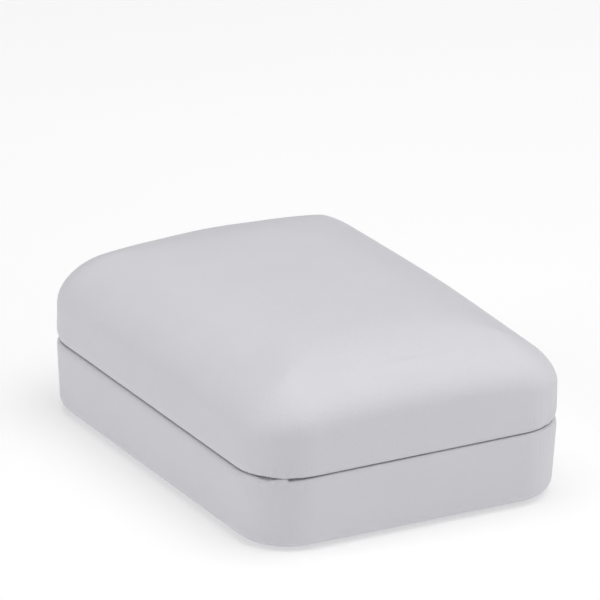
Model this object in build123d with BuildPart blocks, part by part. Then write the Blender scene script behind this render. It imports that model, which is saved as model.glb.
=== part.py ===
"""Jewelry gift box: a clamshell with a puffed lid, covered in leatherette, lined in velvet and satin.

Frame: origin at the middle of the underside, +X along the length, +Y to the hinge, +Z up.
All sizes are in millimetres. An inset is a distance in from the outside face of the walls.
"""

import os
from math import atan, degrees, sqrt

from build123d import *

# Outside of the closed box
LENGTH = 95.0
DEPTH = 71.0
HEIGHT = 36.4
CORNER_R = 11.8
SEAM_Z = 16.0
SEAM_GAP = 0.4
EDGE_ROLL_R = 1.2

# Base walls lean in towards the floor
BASE_LEAN = 0.7
FLOOR_EDGE_R = 3.2

# The lid's top is a shallow crown in both directions, with a wide shoulder round it
CROWN_R_ALONG = 400.0
CROWN_R_ACROSS = 110.0
SHOULDER_R = 10.5
CROWN_REACH = 57.0

# Layers of the walls, from the outside in
GLUE = 0.05
COVER_T = 0.8
TURN_IN_T = 0.5
TURN_IN_H = 4.5
SHELL_INSET = COVER_T + GLUE
CAVITY_INSET = 2.9
TURN_IN_INSET = CAVITY_INSET + GLUE
RIM_INSET = TURN_IN_INSET + TURN_IN_T
LINER_INSET = 3.9
LINER_CARD_T = 0.8
LINER_VELVET_T = 0.55
LINER_VELVET_INSET = LINER_INSET + LINER_CARD_T + GLUE
LINED_INSET = LINER_VELVET_INSET + LINER_VELVET_T
FLANGE_GAP = 0.1
LINER_FLANGE_INSET = RIM_INSET + FLANGE_GAP
LINER_SET_BACK = 1.3

# Heights in the base
SHEET_T = 0.4
SHEET_INSET = 6.5
COVER_OPENING_INSET = 10.0
SHELL_BOTTOM = SHEET_T + SHELL_INSET
SHELL_FLOOR_T = 1.6
FLOOR_Z = SHELL_BOTTOM + SHELL_FLOOR_T
BASE_RIM_Z = SEAM_Z - SEAM_GAP / 2

# Heights in the lid, and the layers under its crown
LID_RIM_Z = SEAM_Z + SEAM_GAP / 2
PADDING_T = 2.0
PADDING_INSET = 8.1
POCKET_MARGIN = 0.1
CROWN_SHELL_T = 1.9
CAVITY_DROP = SHELL_INSET + PADDING_T + 2 * GLUE + CROWN_SHELL_T
CAVITY_EDGE_R = 3.5
LID_LINER_TOP_Z = 23.4
LINING_INSET = LINED_INSET + 0.3
LINING_BOARD_T = 0.8
LINING_PADDING_T = 2.5
LINING_DEPTH = 3.0
BOARD_EDGE_R = 1.5
BOARD_INNER_EDGE_R = 0.7
LINING_PADDING_EDGE_R = 0.65
SATIN_T = 0.65

# Lift-out insert
INSERT_INSET = LINED_INSET + 0.3
INSERT_TOP_Z = 10.5
INSERT_VELVET_T = 0.6
INSERT_FOAM_T = 1.5
INSERT_CARD_T = 0.9
SLIT_W = 0.8
SLIT_LENGTH = 9.0
CHAIN_SLIT_SETBACK = 8.1
INSERT_EDGE_R = 0.54
EARRING_SLIT_SPACING = 26.0
CHAIN_SLIT_SPACING = 46.0

# Snap hinge at the back: five knuckles, two leaves, a pin and a bow spring
HINGE_LENGTH = 36.0
HINGE_SETBACK = 0.5
HINGE_Y = DEPTH / 2 - HINGE_SETBACK
KNUCKLES = 5
KNUCKLE_GAP = 0.15
KNUCKLE_R = 1.15
KNUCKLE_BORE_R = 0.70
PIN_R = 0.65
PIN_HEAD_R = 1.0
PIN_HEAD_T = 0.3
LEAF_T = 0.5
LEAF_H = 6.5
LEAF_CORNER_R = 0.6
LEAF_Y = DEPTH / 2 - CAVITY_INSET - GLUE - LEAF_T
NOTCH_SIDE_GAP = 0.6
NOTCH_LENGTH = HINGE_LENGTH + 2 * NOTCH_SIDE_GAP
NOTCH_HALF_H = 1.45
NOTCH_MARGIN = 0.1
CUT_OVERRUN = 1.0
RIVET_X = 11.5
RIVET_SPACING = 7.0
RIVET_Z = 3.7
RIVET_R = 0.75
RIVET_HEAD_R = 1.15
RIVET_HEAD_T = 0.35
RIVET_LENGTH = 2.1
RIVET_HOLE_EXTRA = 0.15
RIVET_CLEARANCE = 0.05
SPRING_W = 8.0
SPRING_T = 0.3
SPRING_HOOK_Z = 3.4
SPRING_BOW = 0.6
SPRING_HOOK_REACH = 0.05
SPRING_CLEARANCE = 0.15
SPRING_WINDOW_W = SPRING_W + 0.6
SPRING_WINDOW_H = 0.9
SPRING_NOTCH_W = SPRING_W + 1.6
SPRING_NOTCH_H = 4.6


def plan_block(inset, bottom, top):
    """An upright block with the box's rounded plan, pulled in by an inset."""
    with BuildPart() as block:
        with BuildSketch(Plane.XY.offset(bottom)):
            RectangleRounded(LENGTH - 2 * inset, DEPTH - 2 * inset, CORNER_R - inset)
        extrude(amount=top - bottom)
    return block.part


def plan_ring(outer_inset, inner_inset, bottom, top):
    """An upright wall that follows the rounded plan."""
    with BuildPart() as ring:
        with BuildSketch(Plane.XY.offset(bottom)):
            RectangleRounded(LENGTH - 2 * outer_inset, DEPTH - 2 * outer_inset, CORNER_R - outer_inset)
            RectangleRounded(
                LENGTH - 2 * inner_inset,
                DEPTH - 2 * inner_inset,
                CORNER_R - inner_inset,
                mode=Mode.SUBTRACT,
            )
        extrude(amount=top - bottom)
    return ring.part


def base_form(inset, bottom, top, floor_edge_r, rim_edge_r):
    """The base's leaning outside, with a rounded floor edge and a rolled rim."""
    lean_per_mm = BASE_LEAN / BASE_RIM_Z
    low_inset = inset + BASE_LEAN - lean_per_mm * bottom
    with BuildPart() as form:
        with BuildSketch(Plane.XY.offset(bottom)):
            RectangleRounded(LENGTH - 2 * low_inset, DEPTH - 2 * low_inset, CORNER_R - low_inset)
        extrude(amount=top - bottom, taper=-degrees(atan(lean_per_mm)))
        fillet(form.faces().sort_by(Axis.Z)[0].edges(), floor_edge_r)
        fillet(form.faces().sort_by(Axis.Z)[-1].edges(), rim_edge_r)
    return form.part


def crown_body(drop):
    """Everything below the lid's crowned top, lowered by a drop."""
    top = HEIGHT - drop
    reach = CROWN_REACH
    reach_z = top - CROWN_R_ALONG + sqrt(CROWN_R_ALONG**2 - reach**2)
    axis_z = top - CROWN_R_ACROSS
    with BuildPart() as body:
        with BuildSketch(Plane.XZ):
            with BuildLine():
                arc = ThreePointArc((-reach, reach_z), (0, top), (reach, reach_z))
                Line(arc @ 1, (reach, axis_z))
                Line((reach, axis_z), (-reach, axis_z))
                Line((-reach, axis_z), arc @ 0)
            make_face()
        revolve(axis=Axis((0, 0, axis_z), (1, 0, 0)))
    return body.part


def lid_form(inset, drop, shoulder_r, bottom, rim_edge_r):
    """The lid's outside, pulled in at the sides and lowered at the top."""
    block = plan_block(inset, bottom, HEIGHT)
    crown = crown_body(drop)
    with BuildPart() as form:
        add(block)
        add(crown, mode=Mode.INTERSECT)
        fillet(form.faces().sort_by(Axis.Z)[-1].edges(), shoulder_r)
        if rim_edge_r:
            fillet(form.faces().sort_by(Axis.Z)[0].edges(), rim_edge_r)
    return form.part


def hinge_box(length, y_low, y_high, z_low, z_high):
    """A block centred on the hinge's length."""
    with BuildPart() as block:
        with BuildSketch(Plane.XY.offset(z_low)):
            with Locations((0, (y_low + y_high) / 2)):
                Rectangle(length, y_high - y_low)
        extrude(amount=z_high - z_low)
    return block.part


def rivet_holes(z):
    """Blind holes in a shell's back wall for one leaf's rivets."""
    with BuildPart() as holes:
        with BuildSketch(Plane.XZ.offset(-LEAF_Y)):
            with Locations((-RIVET_X, z), (RIVET_X, z)):
                with GridLocations(RIVET_SPACING, 1, 2, 1):
                    Circle(RIVET_R + RIVET_CLEARANCE)
        extrude(amount=-(RIVET_LENGTH + RIVET_HOLE_EXTRA))
    return holes.part


def rivets(z):
    """One leaf's rivets: a flat head inside the leaf and a shank into the shell."""
    with BuildPart() as group:
        with BuildSketch(Plane.XZ.offset(-LEAF_Y)):
            with Locations((-RIVET_X, z), (RIVET_X, z)):
                with GridLocations(RIVET_SPACING, 1, 2, 1):
                    Circle(RIVET_R)
        extrude(amount=-RIVET_LENGTH)
        with BuildSketch(Plane.XZ.offset(-LEAF_Y)):
            with Locations((-RIVET_X, z), (RIVET_X, z)):
                with GridLocations(RIVET_SPACING, 1, 2, 1):
                    Circle(RIVET_HEAD_R)
        extrude(amount=RIVET_HEAD_T)
    return group.part


def hinge_leaf(side, knuckles):
    """A pressed leaf: a plate on the shell's inner face, straps over the rim, and rolled knuckles.

    side is +1 for the lid and -1 for the base; knuckles are the places it fills along the pin.
    """
    pitch = HINGE_LENGTH / KNUCKLES
    centres = [(index - (KNUCKLES - 1) / 2) * pitch for index in knuckles]
    strap_far = SEAM_Z + side * KNUCKLE_R
    strap_near = SEAM_Z + side * (KNUCKLE_R - LEAF_T)
    plate_end = strap_near + side * LEAF_H
    low, high = sorted((strap_near, plate_end))
    with BuildPart() as leaf:
        with BuildSketch(Plane.XZ.offset(-LEAF_Y)):
            with Locations((0, (low + high) / 2)):
                RectangleRounded(HINGE_LENGTH, high - low, LEAF_CORNER_R)
            with Locations((-RIVET_X, SEAM_Z + side * RIVET_Z), (RIVET_X, SEAM_Z + side * RIVET_Z)):
                with GridLocations(RIVET_SPACING, 1, 2, 1):
                    Circle(RIVET_R + RIVET_CLEARANCE, mode=Mode.SUBTRACT)
            with Locations((0, SEAM_Z + side * SPRING_HOOK_Z)):
                Rectangle(SPRING_WINDOW_W, SPRING_WINDOW_H, mode=Mode.SUBTRACT)
        extrude(amount=-LEAF_T)
        with BuildSketch(Plane.XY.offset(min(strap_far, strap_near))):
            with Locations(*[(x, (LEAF_Y + HINGE_Y) / 2) for x in centres]):
                Rectangle(pitch - KNUCKLE_GAP, HINGE_Y - LEAF_Y)
        extrude(amount=LEAF_T)
        with BuildSketch(*[Plane.YZ.offset(x) for x in centres]):
            with Locations((HINGE_Y, SEAM_Z)):
                Circle(KNUCKLE_R)
        extrude(amount=(pitch - KNUCKLE_GAP) / 2, both=True)
        with BuildSketch(Plane.YZ):
            with Locations((HINGE_Y, SEAM_Z)):
                Circle(KNUCKLE_BORE_R)
        extrude(amount=HINGE_LENGTH / 2, both=True, mode=Mode.SUBTRACT)
    return leaf.part


def slits(bottom, top):
    """The insert's cuts: two short ones for earrings and two at the back edge for a chain."""
    with BuildPart() as cuts:
        with BuildSketch(Plane.XY.offset(bottom)):
            with GridLocations(EARRING_SLIT_SPACING, 1, 2, 1):
                SlotOverall(SLIT_LENGTH, SLIT_W, rotation=90)
            with Locations((0, DEPTH / 2 - INSERT_INSET - CHAIN_SLIT_SETBACK)):
                with GridLocations(CHAIN_SLIT_SPACING, 1, 2, 1):
                    SlotOverall(SLIT_LENGTH, SLIT_W, rotation=90)
        extrude(amount=top - bottom)
    return cuts.part


os.makedirs("parts", exist_ok=True)

# Shared spaces: the hinge's notch through each rim, and its bay behind the linings
notch_inner_y = DEPTH / 2 - RIM_INSET - NOTCH_MARGIN
notch_outer_y = DEPTH / 2 + CUT_OVERRUN
base_notch = hinge_box(NOTCH_LENGTH, notch_inner_y, notch_outer_y, SEAM_Z - NOTCH_HALF_H, SEAM_Z)
lid_notch = hinge_box(NOTCH_LENGTH, notch_inner_y, notch_outer_y, SEAM_Z, SEAM_Z + NOTCH_HALF_H)
leaf_bay = hinge_box(
    NOTCH_LENGTH, notch_inner_y, DEPTH / 2 - CAVITY_INSET, SEAM_Z - 2 * LEAF_H, SEAM_Z + 2 * LEAF_H
)

# Base shell: a moulded tray that everything in the base is glued to
base_shell_outside = base_form(
    SHELL_INSET,
    SHELL_BOTTOM,
    BASE_RIM_Z - SHELL_INSET,
    FLOOR_EDGE_R - SHELL_INSET,
    EDGE_ROLL_R - SHELL_INSET,
)
base_cavity = plan_block(CAVITY_INSET, FLOOR_Z, SEAM_Z)
base_rivet_holes = rivet_holes(SEAM_Z - RIVET_Z)
with BuildPart() as base_shell:
    add(base_shell_outside)
    add(base_cavity, mode=Mode.SUBTRACT)
    add(base_notch, mode=Mode.SUBTRACT)
    add(base_rivet_holes, mode=Mode.SUBTRACT)
base_shell.part.label = "base_shell"
export_step(base_shell.part, "parts/base_shell.step")

# Base cover: leatherette wrapped from under the floor, over the rim and down the inside
base_outside = base_form(0, SHEET_T, BASE_RIM_Z, FLOOR_EDGE_R, EDGE_ROLL_R)
base_cover_inside = base_form(
    COVER_T,
    SHEET_T + COVER_T,
    BASE_RIM_Z - COVER_T,
    FLOOR_EDGE_R - COVER_T,
    EDGE_ROLL_R - COVER_T,
)
base_mouth = plan_block(RIM_INSET, FLOOR_Z, SEAM_Z)
base_turn_in = plan_ring(TURN_IN_INSET, RIM_INSET, BASE_RIM_Z - TURN_IN_H, BASE_RIM_Z - COVER_T)
underside_opening = plan_block(COVER_OPENING_INSET, 0, SHEET_T + COVER_T)
with BuildPart() as base_cover:
    add(base_outside)
    add(base_cover_inside, mode=Mode.SUBTRACT)
    add(base_mouth, mode=Mode.SUBTRACT)
    add(base_turn_in)
    add(underside_opening, mode=Mode.SUBTRACT)
    add(base_notch, mode=Mode.SUBTRACT)
    add(leaf_bay, mode=Mode.SUBTRACT)
base_cover.part.label = "base_cover"
export_step(base_cover.part, "parts/base_cover.step")

# Underside sheet: closes the middle of the floor over the cover's turned edges
with BuildPart() as base_underside_sheet:
    add(plan_block(SHEET_INSET, 0, SHEET_T))
base_underside_sheet.part.label = "base_underside_sheet"
export_step(base_underside_sheet.part, "parts/base_underside_sheet.step")

# Base lining: a card strip round the walls, wrapped over its top edge in velvet
base_liner_top = BASE_RIM_Z - LINER_SET_BACK
base_flange_low = base_liner_top - LINER_VELVET_T
base_card_ring = plan_ring(LINER_INSET, LINER_INSET + LINER_CARD_T, FLOOR_Z + GLUE, base_flange_low - GLUE)
spring_y_low = DEPTH / 2 - LINER_VELVET_INSET
base_spring_notch = hinge_box(SPRING_NOTCH_W, spring_y_low, HINGE_Y, SEAM_Z - SPRING_NOTCH_H, SEAM_Z)
with BuildPart() as base_liner_card:
    add(base_card_ring)
    add(base_spring_notch, mode=Mode.SUBTRACT)
base_liner_card.part.label = "base_liner_card"
export_step(base_liner_card.part, "parts/base_liner_card.step")

base_velvet_skirt = plan_ring(LINER_VELVET_INSET, LINED_INSET, FLOOR_Z + GLUE, base_liner_top)
base_velvet_flange = plan_ring(LINER_FLANGE_INSET, LINED_INSET, base_flange_low, base_liner_top)
with BuildPart() as base_liner_velvet:
    add(base_velvet_skirt)
    add(base_velvet_flange)
    add(base_spring_notch, mode=Mode.SUBTRACT)
base_liner_velvet.part.label = "base_liner_velvet"
export_step(base_liner_velvet.part, "parts/base_liner_velvet.step")

# Lift-out insert: a folded card tray turned upside down, foam on it and velvet over both
insert_card_top = INSERT_TOP_Z - INSERT_VELVET_T - INSERT_FOAM_T - 2 * GLUE
insert_card_inset = INSERT_INSET + INSERT_VELVET_T + GLUE
insert_bottom = FLOOR_Z + GLUE
insert_slits = slits(insert_bottom, INSERT_TOP_Z + CUT_OVERRUN)
with BuildPart() as insert_card:
    add(plan_block(insert_card_inset, insert_bottom, insert_card_top))
    add(
        plan_block(insert_card_inset + INSERT_CARD_T, insert_bottom, insert_card_top - INSERT_CARD_T),
        mode=Mode.SUBTRACT,
    )
    add(insert_slits, mode=Mode.SUBTRACT)
insert_card.part.label = "insert_card"
export_step(insert_card.part, "parts/insert_card.step")

with BuildPart() as insert_foam:
    add(plan_block(insert_card_inset, insert_card_top + GLUE, insert_card_top + GLUE + INSERT_FOAM_T))
    add(insert_slits, mode=Mode.SUBTRACT)
insert_foam.part.label = "insert_foam"
export_step(insert_foam.part, "parts/insert_foam.step")

insert_hollow = plan_block(insert_card_inset - GLUE, insert_bottom, INSERT_TOP_Z - INSERT_VELVET_T)
with BuildPart() as insert_velvet:
    add(plan_block(INSERT_INSET, insert_bottom, INSERT_TOP_Z))
    fillet(insert_velvet.faces().sort_by(Axis.Z)[-1].edges(), INSERT_EDGE_R)
    add(insert_hollow, mode=Mode.SUBTRACT)
    add(insert_slits, mode=Mode.SUBTRACT)
insert_velvet.part.label = "insert_velvet"
export_step(insert_velvet.part, "parts/insert_velvet.step")

# Lid shell: a moulded dome with a shallow pocket on top for the padding
lid_shell_outside = lid_form(
    SHELL_INSET, SHELL_INSET, SHOULDER_R - SHELL_INSET, LID_RIM_Z + SHELL_INSET, EDGE_ROLL_R - SHELL_INSET
)
lid_cavity = lid_form(CAVITY_INSET, CAVITY_DROP, CAVITY_EDGE_R, SEAM_Z, 0)
padding_block = plan_block(PADDING_INSET, SEAM_Z, HEIGHT)
pocket_block = plan_block(PADDING_INSET - POCKET_MARGIN, SEAM_Z, HEIGHT)
pocket_floor = crown_body(SHELL_INSET + PADDING_T + 2 * GLUE)
lid_rivet_holes = rivet_holes(SEAM_Z + RIVET_Z)
with BuildPart() as padding_pocket:
    add(pocket_block)
    add(pocket_floor, mode=Mode.SUBTRACT)
with BuildPart() as lid_shell:
    add(lid_shell_outside)
    add(padding_pocket.part, mode=Mode.SUBTRACT)
    add(lid_cavity, mode=Mode.SUBTRACT)
    add(lid_notch, mode=Mode.SUBTRACT)
    add(lid_rivet_holes, mode=Mode.SUBTRACT)
lid_shell.part.label = "lid_shell"
export_step(lid_shell.part, "parts/lid_shell.step")

# Lid padding: a thin foam that gives the top its soft feel
padding_outside = lid_form(
    SHELL_INSET + GLUE, SHELL_INSET + GLUE, SHOULDER_R - SHELL_INSET - GLUE, SEAM_Z, 0
)
padding_floor = crown_body(SHELL_INSET + PADDING_T + GLUE)
with BuildPart() as lid_padding:
    add(padding_block)
    add(padding_outside, mode=Mode.INTERSECT)
    add(padding_floor, mode=Mode.SUBTRACT)
lid_padding.part.label = "lid_padding"
export_step(lid_padding.part, "parts/lid_padding.step")

# Lid cover: leatherette pulled over the dome, round the rim and up the inside
lid_outside = lid_form(0, 0, SHOULDER_R, LID_RIM_Z, EDGE_ROLL_R)
lid_cover_inside = lid_form(
    COVER_T, COVER_T, SHOULDER_R - COVER_T, LID_RIM_Z + COVER_T, EDGE_ROLL_R - COVER_T
)
lid_mouth = plan_block(RIM_INSET, SEAM_Z, LID_RIM_Z + TURN_IN_H)
lid_turn_in = plan_ring(TURN_IN_INSET, RIM_INSET, LID_RIM_Z + COVER_T, LID_RIM_Z + TURN_IN_H)
with BuildPart() as lid_cover:
    add(lid_outside)
    add(lid_cover_inside, mode=Mode.SUBTRACT)
    add(lid_mouth, mode=Mode.SUBTRACT)
    add(lid_turn_in)
    add(lid_notch, mode=Mode.SUBTRACT)
    add(leaf_bay, mode=Mode.SUBTRACT)
lid_cover.part.label = "lid_cover"
export_step(lid_cover.part, "parts/lid_cover.step")

# Lid wall lining: the same card strip and velvet as in the base, upside down
lid_liner_low = LID_RIM_Z + LINER_SET_BACK
lid_flange_top = lid_liner_low + LINER_VELVET_T
lid_card_ring = plan_ring(LINER_INSET, LINER_INSET + LINER_CARD_T, lid_flange_top + GLUE, LID_LINER_TOP_Z)
lid_spring_notch = hinge_box(SPRING_NOTCH_W, spring_y_low, HINGE_Y, SEAM_Z, SEAM_Z + SPRING_NOTCH_H)
with BuildPart() as lid_liner_card:
    add(lid_card_ring)
    add(lid_spring_notch, mode=Mode.SUBTRACT)
lid_liner_card.part.label = "lid_liner_card"
export_step(lid_liner_card.part, "parts/lid_liner_card.step")

lid_velvet_skirt = plan_ring(LINER_VELVET_INSET, LINED_INSET, lid_liner_low, LID_LINER_TOP_Z)
lid_velvet_flange = plan_ring(LINER_FLANGE_INSET, LINED_INSET, lid_liner_low, lid_flange_top)
with BuildPart() as lid_liner_velvet:
    add(lid_velvet_skirt)
    add(lid_velvet_flange)
    add(lid_spring_notch, mode=Mode.SUBTRACT)
lid_liner_velvet.part.label = "lid_liner_velvet"
export_step(lid_liner_velvet.part, "parts/lid_liner_velvet.step")

# Lid lining: a card cap under the crown, foam in it and satin over the foam
board_drop = CAVITY_DROP + GLUE
padding_drop = board_drop + LINING_BOARD_T + GLUE
satin_drop = padding_drop + LINING_PADDING_T + GLUE
lining_low = LID_LINER_TOP_Z - LINING_DEPTH
board_outside = lid_form(LINING_INSET, board_drop, BOARD_EDGE_R, lining_low, 0)
board_inside = lid_form(
    LINING_INSET + LINING_BOARD_T, board_drop + LINING_BOARD_T, BOARD_INNER_EDGE_R, lining_low, 0
)
with BuildPart() as lid_lining_board:
    add(board_outside)
    add(board_inside, mode=Mode.SUBTRACT)
lid_lining_board.part.label = "lid_lining_board"
export_step(lid_lining_board.part, "parts/lid_lining_board.step")

lining_inner_inset = LINING_INSET + LINING_BOARD_T + GLUE
lining_padding_outside = lid_form(lining_inner_inset, padding_drop, LINING_PADDING_EDGE_R, lining_low, 0)
lining_padding_under = crown_body(padding_drop + LINING_PADDING_T)
with BuildPart() as lid_lining_padding:
    add(lining_padding_outside)
    add(lining_padding_under, mode=Mode.SUBTRACT)
lid_lining_padding.part.label = "lid_lining_padding"
export_step(lid_lining_padding.part, "parts/lid_lining_padding.step")

satin_block = plan_block(lining_inner_inset, SEAM_Z, HEIGHT)
satin_top = crown_body(satin_drop)
satin_under = crown_body(satin_drop + SATIN_T)
with BuildPart() as lid_satin:
    add(satin_block)
    add(satin_top, mode=Mode.INTERSECT)
    add(satin_under, mode=Mode.SUBTRACT)
lid_satin.part.label = "lid_satin"
export_step(lid_satin.part, "parts/lid_satin.step")

# Hinge leaves and their rivets
with BuildPart() as hinge_base_leaf:
    add(hinge_leaf(-1, (0, 2, 4)))
hinge_base_leaf.part.label = "hinge_base_leaf"
export_step(hinge_base_leaf.part, "parts/hinge_base_leaf.step")

with BuildPart() as hinge_lid_leaf:
    add(hinge_leaf(1, (1, 3)))
hinge_lid_leaf.part.label = "hinge_lid_leaf"
export_step(hinge_lid_leaf.part, "parts/hinge_lid_leaf.step")

with BuildPart() as hinge_base_rivets:
    add(rivets(SEAM_Z - RIVET_Z))
hinge_base_rivets.part.label = "hinge_base_rivets"
export_step(hinge_base_rivets.part, "parts/hinge_base_rivets.step")

with BuildPart() as hinge_lid_rivets:
    add(rivets(SEAM_Z + RIVET_Z))
hinge_lid_rivets.part.label = "hinge_lid_rivets"
export_step(hinge_lid_rivets.part, "parts/hinge_lid_rivets.step")

# Hinge pin: a wire with a peened head at each end
with BuildPart() as hinge_pin:
    with BuildSketch(Plane.YZ):
        with Locations((HINGE_Y, SEAM_Z)):
            Circle(PIN_R)
    extrude(amount=HINGE_LENGTH / 2 + PIN_HEAD_T, both=True)
    with BuildSketch(Plane.YZ.offset(-HINGE_LENGTH / 2 - PIN_HEAD_T), Plane.YZ.offset(HINGE_LENGTH / 2)):
        with Locations((HINGE_Y, SEAM_Z)):
            Circle(PIN_HEAD_R)
    extrude(amount=PIN_HEAD_T)
hinge_pin.part.label = "hinge_pin"
export_step(hinge_pin.part, "parts/hinge_pin.step")

# Bow spring: a bent steel strip hooked into a window in each leaf
hook_y = LEAF_Y + SPRING_HOOK_REACH
bow_end_y = LEAF_Y - SPRING_T / 2 - SPRING_CLEARANCE
hook_low = SEAM_Z - SPRING_HOOK_Z
hook_high = SEAM_Z + SPRING_HOOK_Z
with BuildPart() as hinge_spring:
    with BuildSketch(Plane.YZ.offset(-SPRING_W / 2)):
        with BuildLine() as strip_line:
            Line((hook_y, hook_low), (bow_end_y, hook_low))
            ThreePointArc(
                (bow_end_y, hook_low),
                (bow_end_y - SPRING_BOW, SEAM_Z),
                (bow_end_y, hook_high),
            )
            Line((bow_end_y, hook_high), (hook_y, hook_high))
        trace(line_width=SPRING_T)
    extrude(amount=SPRING_W)
hinge_spring.part.label = "hinge_spring"
export_step(hinge_spring.part, "parts/hinge_spring.step")
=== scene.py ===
"""Looks of the jewelry gift box: white leatherette on a puffed lid, velvet and satin inside.

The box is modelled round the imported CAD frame, in metres, with +X along its length and the hinge
at +Y. An inset is a distance in from the outside face of the walls, seen from above.
"""

from itertools import product
from math import cos, pi, radians, sin

import bmesh
import bpy
import numpy as np
from mathutils import Matrix, Vector, noise
from mathutils.bvhtree import BVHTree


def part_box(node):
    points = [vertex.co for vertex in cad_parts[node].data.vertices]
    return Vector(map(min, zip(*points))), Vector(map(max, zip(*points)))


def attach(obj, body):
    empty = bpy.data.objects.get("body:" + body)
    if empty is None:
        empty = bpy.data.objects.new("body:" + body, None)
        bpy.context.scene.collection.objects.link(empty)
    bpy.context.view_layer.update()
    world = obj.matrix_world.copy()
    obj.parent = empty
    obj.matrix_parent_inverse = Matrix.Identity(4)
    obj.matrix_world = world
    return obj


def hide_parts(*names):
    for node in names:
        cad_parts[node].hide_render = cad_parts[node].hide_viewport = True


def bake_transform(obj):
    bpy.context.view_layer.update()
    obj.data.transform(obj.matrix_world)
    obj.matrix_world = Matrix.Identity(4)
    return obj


MM = 0.001
TINY = 1e-9

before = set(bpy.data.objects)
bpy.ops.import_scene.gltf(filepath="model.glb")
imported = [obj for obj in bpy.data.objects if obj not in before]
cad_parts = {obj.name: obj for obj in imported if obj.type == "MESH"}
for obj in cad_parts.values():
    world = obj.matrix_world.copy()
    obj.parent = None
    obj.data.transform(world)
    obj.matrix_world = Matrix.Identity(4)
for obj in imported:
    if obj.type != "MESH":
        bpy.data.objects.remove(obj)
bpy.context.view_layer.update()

# Places read from the frame
BASE_LOW, BASE_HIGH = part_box("base_cover")
LID_LOW, LID_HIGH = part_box("lid_cover")
BASE_LINER_LOW, BASE_LINER_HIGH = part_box("base_liner_velvet")
LID_LINER_LOW, LID_LINER_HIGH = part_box("lid_liner_velvet")
PAD_LOW, PAD_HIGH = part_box("insert_velvet")
BOARD_LOW, BOARD_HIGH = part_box("lid_lining_board")
SPRING_LOW, SPRING_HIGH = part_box("hinge_spring")
PIN_LOW, PIN_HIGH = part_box("hinge_pin")
HALF_X = LID_HIGH.x
HALF_Y = LID_HIGH.y
BASE_RIM = BASE_HIGH.z
LID_RIM = LID_LOW.z
LINED_WALL_T = 1.75 * MM
LINED_INSET = HALF_X - BASE_LINER_HIGH.x + LINED_WALL_T

# The plan's rounded corners, and how the columns of every skin are spread round them. A quarter
# of the outline has 2 * RING columns. The knots are the columns where its straights and its arc
# begin and end, with closer columns for a short run beside the arc.
CORNER_R = 11.8 * MM
MIN_RADIUS = 0.3 * MM
CORNER_RUN = 4.0 * MM
RING = 64
COLUMNS = 8 * RING
SIDE_KNOTS = (0, 12, 26)
ARC_KNOTS = (26, 90)
END_KNOTS = (90, 104, 128)

# Rows of points: over each part of a turned edge or a roll, up each wall and round each bend
ROLL_ROWS, FLAP_ROWS, INNER_ROLL_ROWS = 10, 6, 4
LID_WALL_ROWS, BASE_WALL_ROWS = 18, 20
BEND_ROWS, BACK_BEND_ROWS = 12, 6
LINER_WALL_ROWS, LINER_ROLL_ROWS, LINER_LIP_ROWS = 8, 7, 5
PAD_WALL_ROWS = 9
SATIN_WALL_ROWS, SATIN_ROLL_ROWS = 4, 9
SPRING_ROWS = 25

# Leatherette: thickness, turned edges and the shape of the puffed top
COVER_T = 0.8 * MM
LID_ROLL_H = 2.3 * MM
LID_ROLL_W = 0.8 * MM
BASE_ROLL_H = 1.6 * MM
BASE_ROLL_W = 0.7 * MM
SEAM_DROP = 0.15 * MM
SEAM_TILT = 0.35 * MM
SEAM_CLOSE = 0.07 * MM
GAP_ALONG = 0.03 * MM
PLEAT_FADE = 2.2 * MM
INNER_ROLL = 0.35 * MM
RIM_INSET = 3.45 * MM
TURN_IN_INSET = 2.95 * MM
TURN_IN_ROWS = (1.2 * MM, 2.6 * MM)
TURN_IN_H = 4.5 * MM
BACK_STEP = 0.2 * MM
PUFF = 0.4 * MM
SHOULDER_H = 10.25 * MM
SHOULDER_W = 23.75 * MM
DOME_ACROSS = 3.14 * MM
DOME_ACROSS_POWER = 2.69
DOME_ALONG = 1.06 * MM
DOME_ALONG_POWER = 1.61
HIP_SPREAD = 0.6
HIP_SOFT = 11.0 * MM
HIP_SHARP = 0.001 * MM
BASE_LEAN = 0.6 * MM
FLOOR_EDGE_R = 3.0 * MM
UNDERSIDE_INSET = 10.0 * MM
UNDERSIDE_ROWS = (8.0 * MM, 6.0 * MM)
FLOOR_FLAT_MARGIN = 0.6 * MM
HIDDEN_H = 5.0 * MM
BASE_HIDDEN_H = 4.0 * MM
BACKING_T = 0.2 * MM
CROWN_EDGE = LID_HIGH.z + PUFF - DOME_ACROSS - DOME_ALONG

# Clear space between a skin and the pieces under it, how softly it is kept, and where rays start
TRAY_GAP = 0.12 * MM
CLEAR_SOFT = 0.12 * MM
RAY_START = 100.0 * MM

# Unevenness of the leatherette: size, depth and seed step of its hollows, and the corner gathers
HOLLOWS = ((17 * MM, 0.02 * MM, 0), (6 * MM, 0.01 * MM, 3))
GATHER_REACH = 8.0 * MM
GATHER_H = 5.0 * MM
FOLD_W = 1.5 * MM
FOLD_L = 13.0 * MM
FOLD_DEPTH = 0.11 * MM
NOISE_APART = 5.0
WRAP_APART = 20.0 * MM
LID_SEED = 2.0
BASE_SEED = 9.0

# The pleat at the front corner, in mm: distance from the corner's middle, and the edge's lift.
# Corners count anticlockwise from the +X +Y one, seen from above.
FRONT_CORNER = 3
LID_PLEAT = (
    (10, 0),
    (3.4, 0),
    (1.6, 0.12),
    (-1.4, 0.02),
    (-3.4, -0.05),
    (-4.0, 0.06),
    (-8, 0.05),
    (-12, 0),
)
BASE_PLEAT = (
    (10, 0),
    (3.4, 0),
    (2.5, -0.30),
    (0.6, -0.42),
    (-0.9, -0.05),
    (-3.3, 0.26),
    (-3.65, -0.34),
    (-5.5, -0.22),
    (-8, -0.08),
    (-12, 0),
)

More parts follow.
